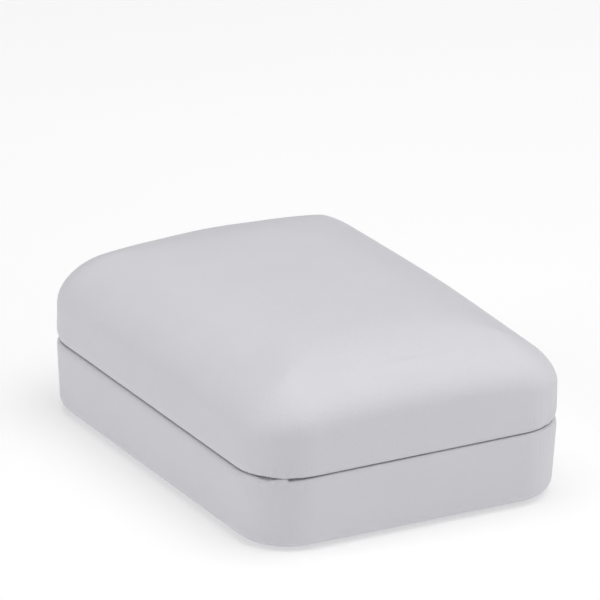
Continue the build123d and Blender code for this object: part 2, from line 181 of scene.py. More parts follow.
# Velvet walls: thickness, the roll over the card's edge and the unevenness of the pile
VELVET_T = 0.55 * MM
LINER_ROLL = 0.9 * MM
LINER_LIP = 0.45 * MM
CARD_GAP = 0.04 * MM
LINER_WAVE = 7.0 * MM
LINER_WAVE_DEPTH = 0.06 * MM
LINER_SEED = 4.0

# The insert's pad: soft edge, crown, unevenness, and its cuts by middle x, middle y, half length
PAD_SOFT = 1.7 * MM
PAD_CROWN = 0.25 * MM
PAD_CROWN_REACH = 18.0 * MM
PAD_UNDER_GAP = 0.3 * MM
PAD_INNER_DROP = 0.6 * MM
PAD_WAVE = 9.0 * MM
PAD_WAVE_DEPTH = 0.05 * MM
PAD_SEED = 6.0
PAD_TOP_SLOPE = (0.6, 0.95)
PRESS_W = 1.1 * MM
PRESS_DEPTH = 0.55 * MM
CUT_W = 0.8 * MM
CUT_DEPTH = 3.0 * MM
OVERRUN = 1.0 * MM
CHAIN_CUT_Y = PAD_HIGH.y - 8.1 * MM
CUTS = (
    (-13 * MM, 0.0, 4.5 * MM),
    (13 * MM, 0.0, 4.5 * MM),
    (-23 * MM, CHAIN_CUT_Y, 4.5 * MM),
    (23 * MM, CHAIN_CUT_Y, 4.5 * MM),
)

# The lid's satin: where it passes round the board, how it bellies down, and the depth of its folds
SATIN_EDGE = BOARD_LOW.z + 0.2 * MM
SATIN_WRAP_OUT = 0.18 * MM
SATIN_WRAP_IN = 0.98 * MM
SATIN_HANG = 0.5 * MM
SATIN_FLAP_H = 1.6 * MM
SATIN_ROLL_H = 0.75 * MM
SATIN_ROLL_RISE = 0.9 * MM
SATIN_BACK = 0.15 * MM
SATIN_BACK_STEP = 0.1 * MM
SATIN_BOARD_GAP = 0.08 * MM
SATIN_T = 0.25 * MM
BELLY_DROP = 9.7 * MM
BELLY_SOFT = 7.0 * MM
FOAM_GAP = 0.5 * MM
FOAM_BACK_GAP = 0.12 * MM
FOLDS_START = (0.2 * MM, 2.0 * MM)
FOLDS_FADE = 4.5 * MM
FOLDS_DEPTH = 0.3 * MM
FOLDS_ROUND = (26.0, 19.0)
FOLDS_LENGTH = 9.0 * MM
FOLDS_SEED = 8.0
SWAY = 21.0 * MM
SWAY_DEPTH = 0.28 * MM
SWAY_START = (1.0 * MM, 10.0 * MM)
SWAY_SEED = 5.0
SATIN_SINK = 0.25 * MM
SATIN_LOWEST = -0.8 * MM
SATIN_HIGHEST = 0.15 * MM
PLEATS_START = (-0.2 * MM, 1.2 * MM)
PLEATS_FADE = 5.0 * MM

# The bow spring: side margin, thickness, bow and the width of its outer strips
SPRING_MARGIN = 0.4 * MM
SPRING_T = 0.3 * MM
SPRING_BOW = 0.6 * MM
SPRING_EDGE_W = 0.35 * MM

# Hinge room, cut out of the skins. The spring's is half width, low y, high y and half height.
HINGE_ROOM_X = 18.6 * MM
HINGE_ROOM_Y = 31.95 * MM
LEAF_BAY_Y = 32.6 * MM
LEAF_BAY_H = 6.6 * MM
KNUCKLE_ROOM = 1.45 * MM
SPRING_ROOM = (4.8 * MM, 30.1 * MM, 35.0 * MM, 4.6 * MM)
SKIN_SHARP = radians(50)
SPRING_SHARP = radians(40)

# Studio light: direction from the box, distance, width of the light and power
WORLD_STRENGTH = 0.02
FLOOR_REACH = 6.0
FLOOR_GLOW = 0.39
FLOOR_GREY = (0.6, 0.6, 0.6)
WHITE = (1, 1, 1)
LIGHTS = (
    ("overhead", (0.1, 0.1, 1.0), 1.1, 1.4, 14.3),
    ("left", (-0.25, -0.95, 0.35), 1.1, 0.9, 4.6),
    ("right", (0.95, 0.25, 0.35), 1.1, 0.9, 2.3),
    ("right_back", (0.35, 0.95, 0.4), 1.1, 0.9, 1.9),
)

# Camera: where it stands in box lengths, its lens in mm, and its aim in shares of the view's width
AZIMUTH, ELEVATION, ROLL = radians(60.597), radians(21.937), radians(-0.871)
LENS = 517.7
SENSOR = 36.0
BOX_LENGTHS_AWAY = 18.13
TARGET_RISE = 0.17
AIM_LEFT = 0.0069
AIM_UP = 0.1217
NEAREST = 0.05
FARTHEST = 20

# ---------------------------------------------------------------- plan outline and grids


def quarter_place(columns):
    """Each column's quarter of the outline, and its place there counted from the short side."""
    quarter = np.floor(columns / (2 * RING)).astype(int) % 4
    along = columns % (2 * RING)
    return quarter, np.where(quarter % 2 == 1, 2 * RING - along, along)


def outline(columns, inset=0.0):
    """Plan points and outward directions of the rounded outline, pulled in by an inset.

    Column 0 is the middle of the +X end, and columns run anticlockwise seen from above.
    """
    radius = np.maximum(CORNER_R - inset, MIN_RADIUS)
    run_x, run_y = HALF_X - inset - radius, HALF_Y - inset - radius
    quarter, along = quarter_place(columns)
    y_share = np.interp(along, SIDE_KNOTS, (0, 1 - CORNER_RUN / (HALF_Y - CORNER_R), 1))
    x_share = np.interp(along, END_KNOTS, (1, 1 - CORNER_RUN / (HALF_X - CORNER_R), 0))
    angle = np.interp(along, ARC_KNOTS, (0, pi / 2))
    x_sign = np.where((quarter == 1) | (quarter == 2), -1, 1)
    y_sign = np.where(quarter >= 2, -1, 1)
    out = np.stack([x_sign * np.cos(angle), y_sign * np.sin(angle)], -1)
    straight = np.stack([x_sign * x_share * run_x, y_sign * y_share * run_y], -1)
    return straight + out * np.reshape(radius * np.ones_like(angle), (-1, 1)), out


def corner_arc(columns):
    """The corner that each column is nearest to, and its distance from that corner's middle.

    Distances grow towards the long sides.
    """
    quarter, along = quarter_place(columns)
    half_arc = CORNER_R * pi / 4
    knots = (*SIDE_KNOTS, *END_KNOTS)
    reach = (
        -half_arc - (HALF_Y - CORNER_R),
        -half_arc - CORNER_RUN,
        -half_arc,
        half_arc,
        half_arc + CORNER_RUN,
        half_arc + (HALF_X - CORNER_R),
    )
    return quarter, np.interp(along, knots, reach)


def wall_depth(plan):
    """How far each plan point lies inside the outline, with the hips between the sides softened."""
    past = np.abs(plan) - (np.array([HALF_X, HALF_Y]) - CORNER_R)
    outside = np.hypot(np.maximum(past[:, 0], 0), np.maximum(past[:, 1], 0))
    soft = np.clip(-HIP_SPREAD * past.sum(1), HIP_SHARP, HIP_SOFT) * (past.max(1) < 0) + TINY
    meet = np.maximum(1 - np.abs(past[:, 0] - past[:, 1]) / soft, 0)
    return CORNER_R - outside - np.minimum(past.max(1) + meet * meet * soft / 4, 0)


def crown(plan):
    """Height of the puffed top over each plan point: a shoulder all round, and a slight dome."""
    u = np.clip(1 - wall_depth(plan) / SHOULDER_W, 0, 1)
    across = DOME_ACROSS * (1 - (np.abs(plan[:, 1]) / HALF_Y) ** DOME_ACROSS_POWER)
    along = DOME_ALONG * (1 - (np.abs(plan[:, 0]) / HALF_X) ** DOME_ALONG_POWER)
    return CROWN_EDGE + across + along - SHOULDER_H * (1 - np.sqrt(1 - u * u))


def grid_cap(inset):
    """A regular grid bent to the rounded plan: plan points, columns, quads and edge points."""
    side = np.arange(-RING, RING + 1)
    i, j = (a.ravel() for a in np.meshgrid(side, side))
    k = np.maximum(np.maximum(np.abs(i), np.abs(j)), TINY)
    turn = np.where(
        (i == k) & (j > -k),
        j,
        np.where(j == k, 2 * k - i, np.where(i == -k, 4 * k - j, 6 * k + i)),
    )
    columns = (turn * RING / k) % COLUMNS
    share = np.sin(pi / 2 * np.maximum(np.abs(i), np.abs(j)) / RING)
    plan = outline(columns, inset)[0] * share[:, None]
    width = 2 * RING + 1
    corner = (np.arange(2 * RING)[:, None] * width + np.arange(2 * RING)).ravel()
    quads = np.stack([corner, corner + 1, corner + width + 1, corner + width], -1)
    c = np.arange(COLUMNS)
    knots = (0, RING, 3 * RING, 5 * RING, 7 * RING, 8 * RING)
    edge_i = np.interp(c, knots, (RING, RING, -RING, -RING, RING, RING)).astype(int)
    edge_j = np.interp(c, knots, (0, RING, RING, -RING, -RING, 0)).astype(int)
    edge = (edge_j + RING) * width + edge_i + RING
    return plan, columns, quads, edge


def row(inset, height):
    """One loop of points round the box. The inset and the height may each vary by column."""
    columns = np.arange(COLUMNS)
    insets = np.broadcast_to(np.asarray(inset, float), (COLUMNS,))
    plan = outline(columns, insets)[0]
    return np.c_[plan, np.broadcast_to(np.asarray(height, float), (COLUMNS,))]


def grid_top(inset, surface, drop=0.0):
    """A bent grid laid on a surface, some way under it: points, columns, quads and edge points."""
    plan, columns, quads, edge = grid_cap(inset)
    return np.c_[plan, surface(plan) - drop], columns, quads, edge


def bridge(first, second):
    """Quads between two loops of points, given their indices."""
    return np.stack([first, np.roll(first, -1), np.roll(second, -1), second], -1)


# ---------------------------------------------------------------- mesh helpers


def make_object(name, points, faces, smooth=True):
    """A mesh object with outward normals, linked to the scene."""
    mesh = bpy.data.meshes.new(name)
    mesh.from_pydata([tuple(p) for p in points], [], [tuple(f) for f in faces])
    work = bmesh.new()
    work.from_mesh(mesh)
    bmesh.ops.recalc_face_normals(work, faces=work.faces)
    work.to_mesh(mesh)
    work.free()
    if smooth:
        mesh.shade_smooth()
    thing = bpy.data.objects.new(name, mesh)
    bpy.context.scene.collection.objects.link(thing)
    return thing


def closed_ring(name, rows):
    """A closed skin swept round the outline: each row joins the next, and the last the first."""
    points = np.vstack(rows)
    loops = [np.arange(COLUMNS) + COLUMNS * n for n in range(len(rows))]
    faces = [bridge(loops[n - 1], loops[n]) for n in range(len(rows))]
    columns = np.tile(np.arange(COLUMNS), len(rows))
    return make_object(name, points, np.vstack(faces)), columns


def capped_skin(name, top, rows, bottom):
    """A closed skin: a top grid, loops down from its edge, and a bottom grid that closes it."""
    (top_points, top_columns, quads, edge), (bottom_points, bottom_columns, _, _) = top, bottom
    points = np.vstack([top_points, *rows, bottom_points])
    first_row = len(top_points)
    first_bottom = first_row + COLUMNS * len(rows)
    loops = [edge]
    loops += [np.arange(COLUMNS) + first_row + COLUMNS * n for n in range(len(rows))]
    loops += [edge + first_bottom]
    faces = [quads, quads + first_bottom]
    faces += [bridge(a, b) for a, b in zip(loops, loops[1:])]
    columns = np.concatenate([top_columns, np.tile(np.arange(COLUMNS), len(rows)), bottom_columns])
    return make_object(name, points, np.vstack(faces)), columns


def read_points(thing):
    """A mesh's points and normals as arrays."""
    count = len(thing.data.vertices)
    points = np.empty(count * 3)
    normals = np.empty(count * 3)
    thing.data.vertices.foreach_get("co", points)
    thing.data.vertices.foreach_get("normal", normals)
    return points.reshape(-1, 3), normals.reshape(-1, 3)


def write_points(thing, points):
    """Puts changed points back into a mesh."""
    thing.data.vertices.foreach_set("co", points.ravel())
    thing.data.update()


def rough_field(points, size, seed):
    """Smooth noise from -1 to 1 whose features are about one size across."""
    shift = Vector((seed, -seed, 2 * seed))
    return np.array([noise.noise(Vector(p) / size + shift) for p in points])


def apply_modifier(thing, name):
    """Makes a modifier's result the mesh itself."""
    with bpy.context.temp_override(object=thing, active_object=thing):
        bpy.ops.object.modifier_apply(modifier=name)


def cut(thing, low, high):
    """Cuts a box-shaped notch out of a closed mesh."""
    corners = list(product(*zip(low, high)))
    sides = [(0, 1, 3, 2), (4, 6, 7, 5), (0, 4, 5, 1), (2, 3, 7, 6), (0, 2, 6, 4), (1, 5, 7, 3)]
    tool = make_object("notch_tool", corners, sides, smooth=False)
    change = thing.modifiers.new("notch", "BOOLEAN")
    change.operation = "DIFFERENCE"
    change.solver = "EXACT"
    change.object = tool
    apply_modifier(thing, "notch")
    bpy.data.objects.remove(tool)


def smooth_step(low, high, value):
    """0 below low, 1 above high and a smooth change between."""
    t = np.clip((value - low) / (high - low), 0, 1)
    return t * t * (3 - 2 * t)


def bump_at(value, centre, width):
    """A rounded hill of height 1 about a centre."""
    return np.exp(-(((value - centre) / width) ** 2))


def fade_out(value, reach):
    """1 at 0 and below, falling away over a reach above it."""
    return np.exp(-np.clip(value, 0, None) / reach)


def spread(low, high, count):
    """Evenly spaced values, where either end may vary by column."""
    return [low + (high - low) * share for share in np.linspace(0, 1, count)]


def store(thing, name, values):
    """Keeps one number or three for every point, for the material to read."""
    kind, slot_name = ("FLOAT", "value") if values.ndim == 1 else ("FLOAT_VECTOR", "vector")
    thing.data.attributes.new(name, kind, "POINT").data.foreach_set(slot_name, values.ravel())


# ---------------------------------------------------------------- leatherette skins


def turned_edge(rim, plain, up, width, height):
    """Rows over the turned edge of a cover, from its outside wall to the back of the turned flap.

    rim is the edge's height by column and plain its height without pleats, which fade out towards
    the inside. up is 1 where the wall comes up to the rim and -1 where it comes down to it. Also
    returns how many of the rows can be seen.
    """
    rows = []
    for t in np.linspace(0, pi / 2, ROLL_ROWS):
        rows.append(row(width * (1 - cos(t)), rim - up * height * (1 - sin(t))))
    for inset in np.linspace(width, RIM_INSET - INNER_ROLL, FLAP_ROWS)[1:]:
        fade = smooth_step(width, PLEAT_FADE, inset)
        rows.append(row(inset, rim + (plain - rim) * fade))
    for t in np.linspace(0, pi / 2, INNER_ROLL_ROWS)[1:]:
        inset = RIM_INSET - INNER_ROLL * (1 - sin(t))
        rows.append(row(inset, plain - up * INNER_ROLL * (1 - cos(t))))
    for reach in (*TURN_IN_ROWS, TURN_IN_H):
        rows.append(row(RIM_INSET, plain - up * reach))
    shown = len(rows)
    rows.append(row(TURN_IN_INSET, plain - up * TURN_IN_H))
    rows.append(row(TURN_IN_INSET, plain - up * COVER_T))
    rows.append(row(width + BACK_STEP, plain - up * COVER_T))
    rows.append(row(COVER_T, plain - up * (height + COVER_T)))
    return rows, shown


def relief(thing, columns, shown, rim, up, seed):
    """Unevenness of glued leatherette: soft hollows all over, and gathers by the rim at corners."""
    points, normals = read_points(thing)
    quarter, arc = corner_arc(columns)
    from_rim = up * (rim - points[:, 2])
    gather = bump_at(arc, 0, GATHER_REACH) * fade_out(from_rim, GATHER_H) * shown
    hollows = sum(rough_field(points, size, seed + step) * depth for size, depth, step in HOLLOWS)
    folded = np.c_[arc / FOLD_W, from_rim / FOLD_L, quarter * NOISE_APART + seed]
    folds = rough_field(folded, 1.0, seed + 1) * FOLD_DEPTH
    write_points(thing, points + normals * ((hollows * shown + folds * gather)[:, None]))
    store(thing, "wrap", np.c_[arc, from_rim, quarter * WRAP_APART])
    store(thing, "gather", gather)


def front_corner(values):
    """A profile along the front corner's edge, as a height for every column. Elsewhere it is 0."""
    quarter, arc = corner_arc(np.arange(COLUMNS))
    places, heights = zip(*values)
    profile = np.interp(arc, np.array(places[::-1]) * MM, np.array(heights[::-1]) * MM)
    return np.where(quarter == FRONT_CORNER, profile, 0)


def seam_lean(side):
    """How far an edge stands off its CAD height by column, since hand-wrapped edges meet unevenly.

    side is 1 for the lid and -1 for the base.
    """
    plan, out = outline(np.arange(COLUMNS))
    front = 0.5 - plan[:, 1] / (2 * HALF_Y)
    gap = -SEAM_CLOSE - GAP_ALONG * out[:, 0]
    return -SEAM_DROP - SEAM_TILT * front + side * gap


def keep_clear(points, nodes, side, gap):
    """Moves a skin's points off the nodes they would touch. side is 1 where the skin lies over."""
    trees = []
    for node in nodes:
        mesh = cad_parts[node].data
        corners = [v.co for v in mesh.vertices]
        trees.append(BVHTree.FromPolygons(corners, [p.vertices for p in mesh.polygons]))
    for point in points:
        start = Vector((point[0], point[1], side * RAY_START))
        hits = [tree.ray_cast(start, Vector((0, 0, -side)))[0] for tree in trees]
        heights = [side * hit.z for hit in hits if hit is not None]
        if heights:
            room = side * point[2] - max(heights) - gap
            point[2] += side * CLEAR_SOFT * np.log1p(np.exp(-room / CLEAR_SOFT))


def build_lid_cover():
    """The lid's skin: puffed top, walls, turned edge and a hidden backing that closes it."""
    plain = LID_RIM + seam_lean(1)
    rim = plain + front_corner(LID_PLEAT)
    top = grid_top(0.0, crown)
    keep_clear(top[0], ("lid_shell", "lid_padding"), 1, TRAY_GAP)
    edge_height = top[0][top[3]][:, 2]
    wall = spread(edge_height, rim + LID_ROLL_H, LID_WALL_ROWS)[1:-1]
    rows = [row(0.0, z) for z in wall]
    edge_rows, shown_rows = turned_edge(rim, plain, -1, LID_ROLL_W, LID_ROLL_H)
    hidden = [row(COVER_T, rim + HIDDEN_H)]
    bottom = grid_top(COVER_T, crown, BACKING_T)
    cover, columns = capped_skin("lid_leatherette", top, rows + edge_rows + hidden, bottom)
    shown = np.zeros(len(columns))
    shown[: len(top[0]) + COLUMNS * (len(rows) + shown_rows)] = 1
    relief(cover, columns, shown, LID_RIM, -1, LID_SEED)
    return cover


def build_base_cover():
    """The base's skin: from under the tray, up the leaning wall, over the rim and down behind."""
    plain = BASE_RIM + seam_lean(-1)
    rim = plain + front_corner(BASE_PLEAT)
    low = BASE_LOW.z
    turn = low + FLOOR_EDGE_R
    wall = BASE_RIM - BASE_ROLL_H - turn
    flat = (UNDERSIDE_INSET, *UNDERSIDE_ROWS, BASE_LEAN + FLOOR_EDGE_R + FLOOR_FLAT_MARGIN)
    unseen = len(flat) - 1
    profile = [(inset, low) for inset in flat]
    for t in np.linspace(0, pi / 2, BEND_ROWS):
        profile.append((BASE_LEAN + FLOOR_EDGE_R * (1 - sin(t)), turn - FLOOR_EDGE_R * cos(t)))
    rows = [row(inset, z) for inset, z in profile]
    for share in np.linspace(0, 1, BASE_WALL_ROWS)[1:-1]:
        rows.append(row(BASE_LEAN * (1 - share), turn + (rim - BASE_ROLL_H - turn) * share))
    edge_rows, shown_rows = turned_edge(rim, plain, 1, BASE_ROLL_W, BASE_ROLL_H)
    shown_count = len(rows) + shown_rows
    rows += edge_rows
    lean = BASE_LEAN * (1 - BASE_HIDDEN_H / wall)
    rows.append(row(COVER_T + lean, turn + BASE_HIDDEN_H))
    radius = FLOOR_EDGE_R - COVER_T
    for t in np.linspace(pi / 2, 0, BACK_BEND_ROWS):
        rows.append(row(BASE_LEAN + COVER_T + radius * (1 - sin(t)), turn - radius * cos(t)))
    rows.append(row(UNDERSIDE_INSET, low + COVER_T))
    cover, columns = closed_ring("base_leatherette", rows)
    shown = np.zeros(len(columns))
    shown[COLUMNS * unseen : COLUMNS * shown_count] = 1
    relief(cover, columns, shown, BASE_RIM, 1, BASE_SEED)
    return cover


# ---------------------------------------------------------------- velvet, satin and steel


def build_liner(name, low, high, card_end, up):
    """A velvet lining wall whose edge rolls over its card. up is 1 where that edge is on top."""
    edge = high.z if up > 0 else low.z
    far = low.z if up > 0 else high.z
    inside = LINED_INSET
    outside = HALF_X - high.x
    rows = [row(inside, z) for z in spread(far, edge - up * LINER_ROLL, LINER_WALL_ROWS)]
    for t in np.linspace(0, pi / 2, LINER_ROLL_ROWS)[1:]:
        rows.append(row(inside - LINER_ROLL * (1 - cos(t)), edge - up * LINER_ROLL * (1 - sin(t))))
    for t in np.linspace(0, pi / 2, LINER_LIP_ROWS):
        rows.append(row(outside + LINER_LIP * (1 - sin(t)), edge - up * LINER_LIP * (1 - cos(t))))
    shown_rows = len(rows) - 1
    back = inside - VELVET_T
    card_top = card_end + up * CARD_GAP
    rows.append(row(outside, card_top))
    rows.append(row(back, card_top))
    rows.append(row(back, far))
    liner, columns = closed_ring(name, rows)
    points, normals = read_points(liner)
    shown = np.zeros(len(columns))
    shown[: COLUMNS * shown_rows] = 1
    soft = rough_field(points, LINER_WAVE, LINER_SEED) * LINER_WAVE_DEPTH
    write_points(liner, points + normals * ((soft * shown)[:, None]))
    return liner


def build_insert():
    """The lift-out pad: velvet over foam on a folded card, with soft edges and cuts for jewelry."""
    inset = HALF_X - PAD_HIGH.x
    top_z = PAD_HIGH.z
    inner = inset + VELVET_T

    def pillow(plan):
        depth = wall_depth(plan) - inset
        side = np.clip(1 - depth / PAD_SOFT, 0, 1)
        rise = PAD_CROWN * smooth_step(0, PAD_CROWN_REACH, depth)
        return top_z - PAD_SOFT * (1 - np.sqrt(1 - side * side)) + rise

    def under(plan):
        return np.full(len(plan), top_z - VELVET_T - PAD_UNDER_GAP)

    top = grid_top(inset, pillow)
    wall = spread(top_z - PAD_SOFT, PAD_LOW.z, PAD_WALL_ROWS)[1:]
    rows = [row(inset, z) for z in wall]
    rows.append(row(inner, PAD_LOW.z))
    rows.append(row(inner, top_z - PAD_SOFT - PAD_INNER_DROP))
    bottom = grid_top(inner + PAD_SOFT, under)
    pad, _ = capped_skin("insert_pad", top, rows, bottom)
    finer = pad.modifiers.new("finer", "SUBSURF")
    finer.levels = 1
    finer.subdivision_type = "SIMPLE"
    apply_modifier(pad, "finer")
    points, normals = read_points(pad)
    pressed = np.zeros(len(points))
    for x, y, half_length in CUTS:
        across = np.abs(points[:, 0] - x)
        along = np.clip(np.abs(points[:, 1] - y) - half_length, 0, None)
        pressed += bump_at(np.hypot(across, along), 0, PRESS_W)
    is_top = smooth_step(*PAD_TOP_SLOPE, normals[:, 2])
    soft_rise = rough_field(points, PAD_WAVE, PAD_SEED) * PAD_WAVE_DEPTH
    points[:, 2] += is_top * (soft_rise - PRESS_DEPTH * pressed)
    write_points(pad, points)
    for x, y, half_length in CUTS:
        low = (x - CUT_W / 2, y - half_length, top_z - CUT_DEPTH)
        high = (x + CUT_W / 2, y + half_length, top_z + OVERRUN)
        cut(pad, low, high)
    return pad


def build_satin():
    """The lid's padded lining: satin drawn over a puffed pad and round the edge of its board."""
    board_in = HALF_X - BOARD_HIGH.x
    wrap_out = board_in - SATIN_WRAP_OUT
    wrap_in = board_in + SATIN_WRAP_IN
    low_z = BOARD_LOW.z - SATIN_HANG

    def belly(plan):
        side = np.clip(1 - (wall_depth(plan) - wrap_in) / BELLY_SOFT, 0, 1)
        edge = SATIN_EDGE + SATIN_ROLL_RISE
        middle = np.maximum(crown(plan) - BELLY_DROP, edge)
        return edge + (middle - edge) * np.sqrt(1 - side * side)

    def back(plan):
        return belly(plan) + SATIN_T

    top = grid_top(wrap_in, belly)
    keep_clear(top[0], ("lid_lining_padding",), -1, FOAM_GAP)
    edge_z = top[0][top[3]][:, 2]
    rows = [row(wrap_in, z) for z in spread(edge_z, low_z + SATIN_ROLL_H, SATIN_WALL_ROWS)[1:]]
    half = (wrap_in - wrap_out) / 2
    for t in np.linspace(0, pi, SATIN_ROLL_ROWS)[1:]:
        rows.append(row(wrap_in - half * (1 - cos(t)), low_z + SATIN_ROLL_H * (1 - sin(t))))
    rows.append(row(wrap_out, BOARD_LOW.z + SATIN_FLAP_H))
    rows.append(row(wrap_out + SATIN_BACK, BOARD_LOW.z + SATIN_FLAP_H))
    rows.append(row(wrap_out + SATIN_BACK, BOARD_LOW.z - SATIN_BOARD_GAP))
    rows.append(row(wrap_in - SATIN_BACK, BOARD_LOW.z - SATIN_BOARD_GAP))
    bottom = grid_top(wrap_in - SATIN_BACK_STEP, back)
    keep_clear(bottom[0], ("lid_lining_padding",), -1, FOAM_BACK_GAP)
    satin, columns = capped_skin("lid_satin_lining", top, rows, bottom)
    points, _ = read_points(satin)
    depth = wall_depth(points[:, :2]) - wrap_in
    folds = smooth_step(*FOLDS_START, depth) * fade_out(depth, FOLDS_FADE)
    turns = columns / COLUMNS * 2 * pi
    round_x, round_y = FOLDS_ROUND
    place = np.c_[np.cos(turns) * round_x, np.sin(turns) * round_y, depth / FOLDS_LENGTH]
    gathers = rough_field(place, 1.0, FOLDS_SEED) * FOLDS_DEPTH * folds
    sway = rough_field(points, SWAY, SWAY_SEED) * SWAY_DEPTH * smooth_step(*SWAY_START, depth)
    is_face = np.arange(len(points)) < len(top[0])
    points[:, 2] += is_face * np.clip(gathers + sway - SATIN_SINK, SATIN_LOWEST, SATIN_HIGHEST)
    write_points(satin, points)
    arc = corner_arc(columns)[1]
    store(satin, "wrap", np.c_[arc, depth, np.zeros(len(points))])
    store(satin, "gather", fade_out(depth, PLEATS_FADE) * smooth_step(*PLEATS_START, depth))
    return satin


def build_spring():
    """A bowed strip of spring steel across the inside of the hinge."""
    half_w = SPRING_HIGH.x - SPRING_MARGIN
    end_y = SPRING_LOW.y + SPRING_BOW + SPRING_T / 2
    reach = (SPRING_HIGH.z - SPRING_LOW.z - SPRING_T) / 2
    mid_z = (SPRING_LOW.z + SPRING_HIGH.z) / 2
    path = [(SPRING_HIGH.y, -reach)]
    for z in np.linspace(-reach, reach, SPRING_ROWS):
        path.append((end_y - SPRING_BOW * (1 - (z / reach) ** 2), z))
    path.append((SPRING_HIGH.y, reach))
    path = np.array(path)
    along = np.gradient(path, axis=0)
    along /= np.linalg.norm(along, axis=1)[:, None]
    aside = np.c_[along[:, 1], -along[:, 0]] * SPRING_T / 2
    places = (-half_w, -half_w + SPRING_EDGE_W, 0.0, half_w - SPRING_EDGE_W, half_w)
    points, faces = [], []
    for x in places:
        for side in (-1, 1):
            for y, z in path + aside * side:
                points.append((x, y, z + mid_z))
    count = len(path)
    strips = len(places)
    for n in range(count - 1):
        for s in range(strips - 1):
            for side in (0, 1):
                a = (2 * s + side) * count + n
                b = (2 * (s + 1) + side) * count + n
                faces.append((a, a + 1, b + 1, b))
        for s in (0, strips - 1):
            a = 2 * s * count + n
            faces.append((a, a + 1, a + count + 1, a + count))
    for s in range(strips - 1):
        for n in (0, count - 1):
            a = 2 * s * count + n
            faces.append((a, a + 2 * count, a + 3 * count, a + count))
    strip = make_object("bow_spring", points, faces)
    strip.data.set_sharp_from_angle(angle=SPRING_SHARP)
    return strip


# ---------------------------------------------------------------- materials

LEATHER = (0.652, 0.645, 0.681)
VELVET = (0.72, 0.71, 0.73)
SATIN = (0.78, 0.775, 0.79)
SPRING_STEEL = (0.72, 0.71, 0.69)
PLATED_STEEL = (0.78, 0.77, 0.75)
TINT_STOPS = (0.35, 0.65)
CELL_SMOOTHNESS = 0.6


class Maker:
    """Builds one node material round a Principled shader."""

    def __init__(self, name, colour, roughness, **numbers):
        self.material = bpy.data.materials.new(name)
        self.material.use_nodes = True
        self.tree = self.material.node_tree
        self.shader = self.tree.nodes["Principled BSDF"]
        self.shader.inputs["Base Color"].default_value = (*colour, 1)
        self.shader.inputs["Roughness"].default_value = roughness
        for socket, value in numbers.items():
            self.shader.inputs[socket.replace("_", " ")].default_value = value
        self.place = self.tree.nodes.new("ShaderNodeTexCoord").outputs["Object"]
        self.normal = None

    def node(self, kind, **settings):
        """A new node with its properties set."""
        made = self.tree.nodes.new(kind)
        for key, value in settings.items():
            setattr(made, key, value)
        return made

    def join(self, output, socket):
        """Links an output to a socket."""
        self.tree.links.new(output, socket)

    def noise(self, size, detail, stretch=None, place=None):
        """Noise whose features are about one size across, from 0 to 1."""
        texture = self.node("ShaderNodeTexNoise")
        texture.inputs["Scale"].default_value = 1 / size
        texture.inputs["Detail"].default_value = detail
        self.join(self.stretched(stretch, place or self.place), texture.inputs["Vector"])
        return texture.outputs["Fac"]

    def cells(self, size):
        """Distance to the nearest of a set of scattered points, about one size apart."""
        texture = self.node("ShaderNodeTexVoronoi", feature="SMOOTH_F1")
        texture.inputs["Scale"].default_value = 1 / size
        texture.inputs["Smoothness"].default_value = CELL_SMOOTHNESS
        self.join(self.place, texture.inputs["Vector"])
        return texture.outputs["Distance"]

    def stretched(self, stretch, place):
        """A place multiplied along each axis, so that features on it are drawn out."""
        if stretch is None:
            return place
        scale = self.node("ShaderNodeVectorMath", operation="MULTIPLY")
        scale.inputs[1].default_value = stretch
        self.join(place, scale.inputs[0])
        return scale.outputs["Vector"]

    def kept(self, name):
        """A value stored on the mesh."""
        return self.node("ShaderNodeAttribute", attribute_name=name)

    def times(self, first, second):
        """The product of two outputs."""
        made = self.node("ShaderNodeMath", operation="MULTIPLY")
        self.join(first, made.inputs[0])
        self.join(second, made.inputs[1])
        return made.outputs[0]

    def bump(self, height, depth, strength=1.0):
        """Adds a relief of some depth to the shader's normal."""
        made = self.node("ShaderNodeBump")
        made.inputs["Strength"].default_value = strength
        made.inputs["Distance"].default_value = depth
        self.join(height, made.inputs["Height"])
        if self.normal is not None:
            self.join(self.normal, made.inputs["Normal"])
        self.normal = made.outputs["Normal"]
        self.join(self.normal, self.shader.inputs["Normal"])

    def tint(self, factor, dark, light):
        """Colour that varies between two shades."""
        ramp = self.node("ShaderNodeValToRGB")
        for stop, place, shown in zip(ramp.color_ramp.elements, TINT_STOPS, (dark, light)):
            stop.position = place
            stop.color = (*shown, 1)
        self.join(factor, ramp.inputs["Fac"])
        self.join(ramp.outputs["Color"], self.shader.inputs["Base Color"])

    def vary_roughness(self, factor, low, high):
        """Roughness that varies between two values."""
        made = self.node("ShaderNodeMapRange")
        made.inputs["To Min"].default_value = low
        made.inputs["To Max"].default_value = high
        self.join(factor, made.inputs["Value"])
        self.join(made.outputs["Result"], self.shader.inputs["Roughness"])


def shade(colour, share):
    """A colour made lighter or darker."""
    return tuple(c * share for c in colour)


def leatherette():
    """Coated white leatherette: a very fine pebbled grain, and creases where it is gathered."""
    make = Maker("white_leatherette", LEATHER, 0.55, Specular_IOR_Level=0.42)
    make.tint(make.noise(9 * MM, 4), shade(LEATHER, 0.993), shade(LEATHER, 1.007))
    make.vary_roughness(make.noise(1.2 * MM, 3), 0.48, 0.62)
    wrap = make.kept("wrap").outputs["Vector"]
    gather = make.kept("gather").outputs["Fac"]
    creases = make.noise(0.9 * MM, 3, (1.0, 0.12, 1.0), wrap)
    make.bump(make.times(creases, gather), 0.6 * MM)
    make.bump(make.noise(2.6 * MM, 3), 0.03 * MM)
    make.bump(make.cells(0.34 * MM), 0.035 * MM)
    make.bump(make.noise(0.12 * MM, 2), 0.006 * MM, 0.7)
    return make.material


